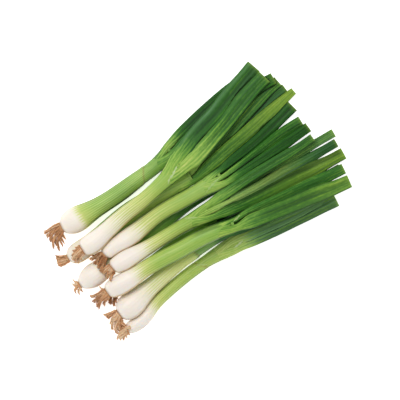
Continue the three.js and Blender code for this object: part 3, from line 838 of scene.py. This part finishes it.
def makeLeaf(letter, node):
    name = node.rsplit("_", 1)[1]
    look, shape, stalk = leafLooks[f"{letter}_{name}"], leafShape, stalks[letter]
    strand = leafStrand(ringsOf(node), strands[letter], look)
    start, end = strand.runs[0], strand.length
    rows = np.arange(start, end - shape["lastGap"], shape["spacing"])
    rows = np.concatenate([rows, end - np.array(shape["lastRows"])])
    grid = rows[:, None] + np.zeros(shape["around"])
    across, above, dent = leafSection(grid, look)
    # the wall at the trimmed end, and the hollow behind it
    rings = [strand.places(grid, across, above)]
    inner = across[-1:] * (1 - shape["wall"]), above[-1:] * (1 - shape["wall"] * 2)
    for back in shape["hollow"]:
        rings.append(strand.places(grid[-1:] - back, *inner))
    rings = np.concatenate(rings)
    deep = len(shape["hollow"])
    across, above, along = (repeatEnd(part, deep) for part in (across, above, grid))
    along[-deep:] -= np.array(shape["hollow"])[:, None]
    # behind the mouth the leaf takes on the tone and the bloom of its stalk
    tints = leafTints
    base, full, turnAt = look["tones"]
    tone = base + (full - base) * smoothstep(tints["turnFrom"], turnAt, along)
    if look["end"]:
        endTone, endLength = look["end"]
        tone += (endTone - tone) * smoothstep(end - endLength, end - tints["endDone"], along)
    blend = smoothstep(*tints["blend"], along)
    tone = toneAt(letter, rings[:, :, 0]) * (1 - blend) + tone * blend
    started = smoothstep(*tints["bloom"], along)
    bloom = stalk["bloom"] * smoothstep(*stalkShape["bloomTones"], tone) * (1 - started)
    bloom += look["bloom"] * started
    # a painted highlight along one ridge, in the bloom's pale colour
    highlightPlace, highlightWidth = tints["ridgeHighlightAcross"]
    bloom += look["ridgeHighlight"] * hump(across - highlightPlace, highlightWidth) * smoothstep(*tints["ridgeHighlight"], along)
    (yellowStart, yellowEnd), (yellowFrom, yellowShort) = look["yellow"], tints["yellow"]
    yellow = yellowStart + (yellowEnd - yellowStart) * smoothstep(yellowFrom, end - yellowShort, along)
    # the cut end is paler
    tone[-deep:] = np.minimum(tone[-deep:] + 0.1, 1)
    cutPale, cutLength = shape["cutEdge"]
    cut = cutPale * np.exp(-(end - along) / cutLength)
    cut[-deep:] = np.array(shape["hollowCut"])[:, None]
    # painted shade along the edges, past a fold and in the furrows
    shade = look["edge"] * smoothstep(*tints["edge"], -across)
    for key in ("shadeLeft", "leftEdgeShade"):
        shade += look[key] * smoothstep(*tints[key], across)
    fold, amount = look["foldRight"]
    shade += amount * smoothstep(fold, fold + tints["foldWidth"], -across)
    shade *= smoothstep(*tints["shade"], along) * smoothstep(*tints["shadeTones"], tone)
    shade[:-deep] += shape["furrowShade"] * dent * (above[:-deep] > 0)
    values = {
        "tone": np.append(tone, [0.5, 1]),
        "shade": np.clip(shade * smoothstep(end + 1, end - 5, along), 0, 1),
        "lines": np.full(tone.size + 2, look["lines"]),
        "rib": shape["ribs"] * across,
        "bloom": bloom,
        "yellow": yellow,
        "cut": cut,
    }
    runs = along + shape["coordGap"] * (letters.index(letter) * 5 + leavesOf[letter].index(node))
    coord = np.stack([across * shape["coordSize"], np.sign(above) * shape["coordRise"] + above, runs], -1)
    poles = strand.pole(start), strand.pole(end - shape["hollow"][-1])
    places = np.concatenate([rings.reshape(-1, 3), *poles])
    makeSkin(f"leaf_{letter}_{name}", places, shape["around"], coord, values, leafSkin, [node])


for letter in letters:
    for node in leavesOf[letter]:
        makeLeaf(letter, node)
print("leaves made")

bpy.context.view_layer.update()


def surfaceUnder():
    spots, faces = [], []
    for piece in bpy.data.objects:
        if piece.type == "MESH" and piece.name.startswith(("stalk_", "leaf_")):
            base = len(spots)
            spots += [v.co.copy() for v in piece.data.vertices]
            faces += [[base + i for i in p.vertices] for p in piece.data.polygons]
    return BVHTree.FromPolygons(spots, faces)


ground = surfaceUnder()  # what the membranes and the roots lie on

# Little light reaches the crevices between leaves, so they are darkened by how close the neighbours are
crevice = {
    "reach": 4.5,
    "rays": [(0.0, 15)] + [(0.9, 15 + k * 60) for k in range(6)],  # tilt in radians, and turn in degrees
    "start": 0.12,
    "facing": -0.35,  # points that face down more than this aren't looked at
    "depth": {"stalk": 1.3, "leaf": 3.2},
    "power": 1.25,
    "close": 2.0,  # a neighbour nearer than this leaves hardly any light
    "closeDepth": {"stalk": 0.5, "leaf": 1.6},
    "green": (0.1, 0.45, 0.12),  # tones from which it starts and is full, and the least of it
    "most": 1.0,
}


def darkenCrevices():
    ways = []
    for tilt, turned in crevice["rays"]:
        angle, out = math.radians(turned), math.sin(tilt)
        ways.append(Vector((out * math.cos(angle), out * math.sin(angle), math.cos(tilt))))
    reach, near = crevice["reach"] * mm, crevice["close"] * mm
    greenLow, greenHigh, greenLeast = crevice["green"]
    for piece in bpy.data.objects:
        kind = piece.name.split("_")[0]
        if piece.type != "MESH" or kind not in crevice["depth"]:
            continue
        shade = piece.data.attributes["shade"].data
        tone = piece.data.attributes["tone"].data
        dim = leafLooks.get(piece.name.removeprefix("leaf_"), {}).get("dim", 1)
        for i, vertex in enumerate(piece.data.vertices):
            if vertex.normal.z < crevice["facing"]:
                continue
            start = vertex.co + vertex.normal * crevice["start"] * mm
            hidden, close = 0.0, 0
            for way in ways:
                distance = ground.ray_cast(start, way, reach)[3]
                if distance is not None:
                    hidden += 1 - distance / reach
                    close += distance < near
            green = min(max((tone[i].value - greenLow) / (greenHigh - greenLow), greenLeast), 1)
            hidden = (hidden / len(ways)) ** crevice["power"] * crevice["depth"][kind]
            hidden = (hidden + close / len(ways) * crevice["closeDepth"][kind]) * green * dim
            shade[i].value = min(shade[i].value + hidden, max(crevice["most"], shade[i].value))


darkenCrevices()
print("crevices darkened")


def topAt(x, y):
    hit = ground.ray_cast(Vector((x * mm, y * mm, 0.2)), Vector((0, 0, -1)))
    return hit[0].z / mm if hit[0] else 0.0


# Thin pale membrane along the slanting edges where sheaths end: places on the sheet
membranes = {
    "c_upper": {"way": [(-17, 31), (-14, 34), (-8, 36), (-3, 39), (1, 41)], "width": 3.4, "pale": 0.5},
    "d_upper": {"way": [(9, 2.5), (17, 5), (24, 6.4), (31, 7.7)], "width": 3.6, "pale": 0.2},
    "e_upper": {"way": [(-24, -6), (-18, -9), (-12, -13)], "width": 3.0, "pale": 0.26},
    "g_fork": {"way": [(15, -36.5), (20, -36), (24, -35)], "width": 2.8, "pale": 0.3},
    "i_fork": {"way": [(0, -59), (6, -58.4), (12, -57.8)], "width": 3.6, "pale": 0.6},
    "i_upper": {"way": [(-41, -51), (-36, -54), (-31, -57)], "width": 2.6, "pale": 0.28},
}
membraneShape = {
    "step": 0.6,
    "around": 16,
    "proud": 0.09,  # half its thickness, above and below its middle
    "bury": 0.5,
    "sunk": 0.04,  # that its middle lies under the surface
    "drop": 1.6,  # that its edges may hang down
    "lowest": 0.6,
    "pointed": 0.03,
    "ragged": (0.8, 0.25, 1.3),  # mean width, how much it swings, and how fast
    "polePale": 0.3,
}


def makeMembrane(name, look):
    shape = membraneShape
    way = np.array(look["way"], float)
    runs = np.concatenate([[0], np.cumsum(np.linalg.norm(np.diff(way, axis=0), axis=1))])
    grid = np.arange(0, runs[-1], shape["step"])
    spots = cubicThrough(runs, way, grid) + sheetShift
    ahead = unit(np.gradient(spots, axis=0))
    turn = circle(shape["around"])
    phase = random.Random(len(name) + int(way.sum() * 7)).uniform(0, 6)
    mean, swing, pace = shape["ragged"]
    rings = []
    for k, (spot, run) in enumerate(zip(spots, grid)):
        floor = max(topAt(*spot) - shape["drop"], shape["lowest"])
        share = np.clip(run / runs[-1], shape["pointed"], 1 - shape["pointed"])
        width = look["width"] / 2 * math.sqrt(math.sin(math.pi * share))
        width *= mean + swing * math.sin(run * pace + phase)
        ring = []
        for angle in turn:
            aside = math.cos(angle) * width
            x, y = spot[0] - ahead[k][1] * aside, spot[1] + ahead[k][0] * aside
            lift = math.sin(angle) * (shape["proud"] if math.sin(angle) > 0 else shape["bury"])
            ring.append((x, y, max(topAt(x, y), floor) + lift - shape["sunk"]))
        rings.append(ring)
    places = capped(np.array(rings))
    # it fades from its middle to its edges
    fade = np.append(np.tile(1 - np.abs(np.cos(turn)) ** 1.5, len(rings)), [shape["polePale"]] * 2)
    values = {"tone": toneAt(name[0], places[:, 0]), "rim": fade * look["pale"], "rib": places[:, 1] * 3}
    makeSkin(f"membrane_{name}", places, len(turn), places, values, shankSkin)


for name, look in membranes.items():
    makeMembrane(name, look)
print("membranes made")

# Roots: dried fibres in flat locks that fan out of the root plate and lie on whatever is below them.
# The tips are where the locks end on the sheet.
tuftShared = {
    "reach": (0.86, 1.02),  # of a lock's fibres, as shares of the way to its tip
    "under": False,  # whether the tuft lies under the others
}
tufts = filledIn({
    "a": {"pale": 0.36, "tips": [
        (-147.5, 62.1), (-147.2, 57.6), (-147.4, 52.1), (-148.4, 45.3), (-144.3, 46.2),
        (-145.0, 39.9), (-139.4, 41.6), (-136.5, 43.5), (-132.5, 46.1), (-141.8, 63.1)]},
    "b": {"pale": 0.5, "reach": (0.95, 1.0), "tips": [
        (-151.0, 36.0), (-152.2, 33.4), (-153.3, 30.8), (-154.2, 28.2), (-153.0, 26.4)]},
    "c": {"pale": 0.45, "reach": (0.9, 1.0), "tips": [
        (-133.5, 30.2), (-137.0, 27.4), (-138.8, 24.6), (-138.3, 21.6), (-136.5, 18.4),
        (-131.6, 20.6), (-129.5, 31.0)]},
    "d": {"pale": 0.3, "tips": [
        (-124.7, 14.1), (-121.0, 16.2), (-123.8, 8.8), (-122.8, 3.1), (-120.9, -1.3),
        (-115.6, 0.0), (-116.6, 5.7), (-120.4, 10.8), (-119.0, 4.6)]},
    "e": {"pale": 0.55, "tips": [
        (-122.0, -4.2), (-122.7, -1.3), (-121.2, -9.8), (-119.5, -14.8), (-112.0, -11.3), (-118.0, -3.4)]},
    "f": {"pale": 0.55, "tips": [
        (-150.1, 6.7), (-153.2, 3.6), (-157.3, -4.7), (-153.6, -7.1), (-149.0, -7.2)]},
    "g": {"pale": 0.36, "tips": [
        (-132.4, -14.2), (-145.8, -16.8), (-147.0, -21.7), (-146.4, -28.9), (-144.0, -25.0),
        (-139.5, -30.6), (-133.1, -29.5), (-134.8, -20.2), (-141.7, -20.4)]},
    "h": {"pale": 0.68, "tips": [
        (-145.2, -39.1), (-144.5, -43.9), (-145.3, -50.9), (-147.0, -55.9), (-145.8, -61.3),
        (-139.3, -44.5), (-142.2, -61.1), (-140.5, -63.0), (-136.5, -62.5), (-132.5, -62.5),
        (-136.5, -58.0), (-133.6, -56.5), (-139.5, -53.0), (-142.5, -57.5), (-140.5, -59.5)]},
    "i": {"pale": 0.74, "tips": [
        (-148.3, -65.9), (-146.4, -68.4), (-143.6, -70.4), (-139.1, -70.2), (-134.6, -69.0),
        (-129.7, -64.2), (-144.4, -63.3), (-139.0, -64.0), (-138.0, -58.6), (-142.0, -60.5)]},
    "j": {"pale": 0.2, "under": True, "tips": [
        (-134.1, -33.2), (-132.1, -36.8), (-124.7, -32.9), (-128.2, -35.4)]},
}, tuftShared)
stubShape = {
    "around": 28,
    "rings": ((0.0, 0.6), (0.05, 0.82), (0.5, 0.86), (1.0, 0.8), (1.5, 0.66), (1.9, 0.4)),
    "lumps": (-0.06, 0.05),
    "lowest": 0.05,
    "tint": 0.3,
    "serial": 90,
}
fibreShape = {
    "sides": 6,
    "steps": 10,
    "radius": (0.24, 0.5),
    "taper": 0.8,
    "startBack": 0.8,  # behind the root plate
    "bend": 0.45,
    "lockFibres": 26,
    "lockWidth": 1.0,
    "lockSpread": 0.85,  # of the half width of the plate that the locks start from
    "lockHeight": (-0.2, 0.75),
    "startJitter": (0.12, 0.14),
    "tipHeight": (-0.8, 1.0),
    "lockTint": 0.16,  # how much the locks differ, and the fibres within one
    "fibreTint": 0.2,
    "lift": (0.5, 3.4),  # of a tip over what it lies on
    "wander": 0.45,
    "loose": 22,  # single fibres between the locks
    "looseSpread": 0.86,
    "looseHeight": (0, 2.0),
    "looseRadius": (0.2, 0.36),
    "looseTint": (0.1, 0.3),
    "looseWander": 1.0,
}


def tubeAlong(points, radii, sides):
    points = np.array(points)
    way = unit(np.gradient(points, axis=0))
    side = unit(np.cross(way, [0.1, 0.2, 1.0]))
    up = np.cross(side, way)
    turn = circle(sides)
    ring = side[:, None] * np.cos(turn)[None, :, None] + up[:, None] * np.sin(turn)[None, :, None]
    return points[:, None] + ring * np.array(radii)[:, None, None]


def makeTuft(letter):
    look, shape = tufts[letter], fibreShape
    node = f"onion_{letter}_roots"
    plate, side, half, rise = (strands[letter].at(0.0, key) for key in ("centre", "side", "half", "rise"))
    back = np.array([-side[1], side[0], 0.0])
    draw = random.Random(ord(letter) * 13)
    places, faces, tint, coord = [], [], [], []

    def addTube(rings, colour, serial):
        base = sum(len(p) for p in places)
        count, sides = rings.shape[:2]
        places.append(capped(rings))
        faces.extend([[base + i for i in f] for f in tubeFaces(count, sides)])
        tint.append(np.full(len(places[-1]), colour))
        runs = np.arange(count)[:, None] * np.ones(sides)
        turn = circle(sides) + 0 * runs
        own = np.stack([np.cos(turn), np.sin(turn), runs + 40 * serial], -1).reshape(-1, 3)
        coord.append(np.concatenate([own, own[:1], own[-1:]]))

    # the corky stub
    turn = circle(stubShape["around"])
    stub = []
    for distance, share in stubShape["rings"]:
        lumps = np.array([1 + draw.uniform(*stubShape["lumps"]) for _ in turn])
        ring = plate + back * distance + side * (np.cos(turn) * half * share * lumps)[:, None]
        ring[:, 2] = np.maximum(ring[:, 2] + np.sin(turn) * rise * share * lumps, stubShape["lowest"])
        stub.append(ring)
    addTube(np.array(stub), stubShape["tint"], stubShape["serial"])

    tips = []
    for x, y in np.array(look["tips"]) + sheetShift:
        lift = draw.uniform(*shape["lift"]) * min(1, plate[2] / 8)
        tips.append(np.array([x, y, lift + (0 if look["under"] else topAt(x, y))]))
    tips.sort(key=lambda tip: float((tip - plate) @ side))

    def addFibre(startAcross, startAbove, tip, thick, colour, wander):
        start = plate + side * half * startAcross + back * shape["startBack"]
        start[2] += rise * startAbove
        phases = [draw.uniform(0, 6.3) for _ in range(3)]
        points, radii = [], []
        length = float(np.linalg.norm((tip - start)[:2]))
        for k in range(shape["steps"]):
            share = k / (shape["steps"] - 1)
            spot = start + (tip - start) * share
            # fibres leave the plate straight and bend towards their tips
            straight = back * length * 0.9 * share + start
            spot += (straight - spot) * shape["bend"] * math.sin(math.pi * share)
            loose = wander * min(share * 2, 1)
            spot += side * loose * math.sin(share * length * 0.6 + phases[0])
            thickness = thick * (1 - (1 - shape["taper"]) * share**2)
            spot[2] = start[2] + (tip[2] - start[2]) * share**1.3
            spot[2] += loose * 0.8 * math.sin(share * length * 0.5 + phases[1])
            if k > 1 and not look["under"]:
                spot[2] = max(spot[2], topAt(spot[0], spot[1]) + thickness * 0.8)
            points.append(np.clip(spot, boxLow + thickness, boxHigh - thickness))
            radii.append(thickness)
        addTube(tubeAlong(points, radii, shape["sides"]), colour, len(places))

    for rank, tip in enumerate(tips):
        place = (rank + 0.5) / len(tips) * 2 * shape["lockSpread"] - shape["lockSpread"]
        height = draw.uniform(*shape["lockHeight"]) * math.sqrt(1 - place * place)
        lockColour = draw.gauss(look["pale"], shape["lockTint"])
        for _ in range(shape["lockFibres"]):
            aside = draw.gauss(0, shape["lockWidth"])
            share = draw.uniform(*look["reach"])
            goal = plate + (tip - plate) * share + side * aside
            goal[2] = tip[2] + draw.uniform(*shape["tipHeight"])
            colour = np.clip(draw.gauss(lockColour, shape["fibreTint"]), 0, 1)
            startAcross = np.clip(place + draw.gauss(0, shape["startJitter"][0]), -0.9, 0.9)
            startAbove = np.clip(height + draw.gauss(0, shape["startJitter"][1]), -0.8, 0.85)
            thick = draw.uniform(*shape["radius"])
            addFibre(startAcross, startAbove, goal, thick, colour, shape["wander"])
    for _ in range(shape["loose"]):
        one, two = draw.choice(tips), draw.choice(tips)
        goal = plate + ((one + two) / 2 - plate) * draw.uniform(0.5, 1.0)
        goal[2] = one[2] + draw.uniform(*shape["looseHeight"])
        angle, radius = draw.uniform(0, 2 * math.pi), math.sqrt(draw.random()) * shape["looseSpread"]
        starts = math.cos(angle) * radius, math.sin(angle) * radius
        paler, spread = shape["looseTint"]
        colour = np.clip(draw.gauss(look["pale"] + paler, spread), 0, 1)
        thick = draw.uniform(*shape["looseRadius"])
        addFibre(*starts, goal, thick, colour, shape["looseWander"])
    flat = np.concatenate(places)
    flat[:, 2] = np.maximum(flat[:, 2], overTable)
    values = {"tint": np.concatenate(tint), "strand": np.concatenate(coord)}
    makePiece(f"roots_{letter}", flat, faces, values, rootSkin, [node])


for letter in letters:
    makeTuft(letter)
print("roots made")

# Table, light and camera, in metres
studio = {
    "tableSize": 8.0,
    "tableTones": ((0.93, 0.93, 0.93, 1), (0.95, 0.95, 0.95, 1)),
    "tableEven": {
        "Roughness": 0.9,
        "Specular IOR Level": 0.1,
        "Emission Color": (1, 1, 1, 1),
        "Emission Strength": 0.7,
    },
    "keyLamp": {"place": (-0.1, 1.15, 2.2), "size": 1.3, "power": 31},
    "fillLamp": {"place": (0.9, -1.3, 1.6), "size": 1.6, "power": 5},
    "sky": 0.5,
    "cameraHeight": 4.6,
    "sensor": 36,
    "view": 0.4,  # across the picture, at the middle of the bunch's height
    "middleHeight": 0.014,
    "farthest": 100,
}


def makeTable():
    half = studio["tableSize"] / 2
    mesh = bpy.data.meshes.new("table")
    corners = [(-half, -half, 0), (half, -half, 0), (half, half, 0), (-half, half, 0)]
    mesh.from_pydata(corners, [], [(0, 1, 2, 3)])
    table = addObject("table", mesh)
    n = Nodes("tableTop")
    place = n.add("ShaderNodeTexCoord").outputs["Object"]
    n.give("Base Color", n.mix(n.noise(place, 3.0), *studio["tableTones"]))
    n.giveAll(studio["tableEven"])
    mesh.materials.append(n.material)


def makeLamp(name):
    look = studio[name]
    light = bpy.data.lights.new(name, "AREA")
    light.shape = "DISK"
    light.size = look["size"]
    light.energy = look["power"]
    lamp = addObject(name, light)
    lamp.location = look["place"]
    lamp.rotation_euler = (-Vector(look["place"])).to_track_quat("-Z", "Y").to_euler()
    lamp.visible_camera = False


def makeSky():
    world = bpy.data.worlds.new("studio")
    world.use_nodes = True
    background = world.node_tree.nodes["Background"]
    background.inputs["Color"].default_value = (1, 1, 1, 1)
    background.inputs["Strength"].default_value = studio["sky"]
    bpy.context.scene.world = world


def makeCamera():
    data = bpy.data.cameras.new("camera")
    height = studio["cameraHeight"]
    data.sensor_width = studio["sensor"]
    data.lens = studio["sensor"] * (height - studio["middleHeight"]) / studio["view"]
    data.clip_end = studio["farthest"]
    camera = addObject("camera", data)
    camera.location = (sheetShift[0] * mm, sheetShift[1] * mm, height)
    camera.rotation_euler = (0, 0, -math.radians(sheetTurn))
    bpy.context.scene.camera = camera


makeTable()
makeLamp("keyLamp")
makeLamp("fillLamp")
makeSky()
makeCamera()
bpy.context.scene.view_settings.view_transform = "Standard"
triangles = sum(len(p.vertices) - 2 for o in bpy.data.objects if o.type == "MESH" for p in o.data.polygons)
print("table, light and camera made:", triangles, "triangles in all")
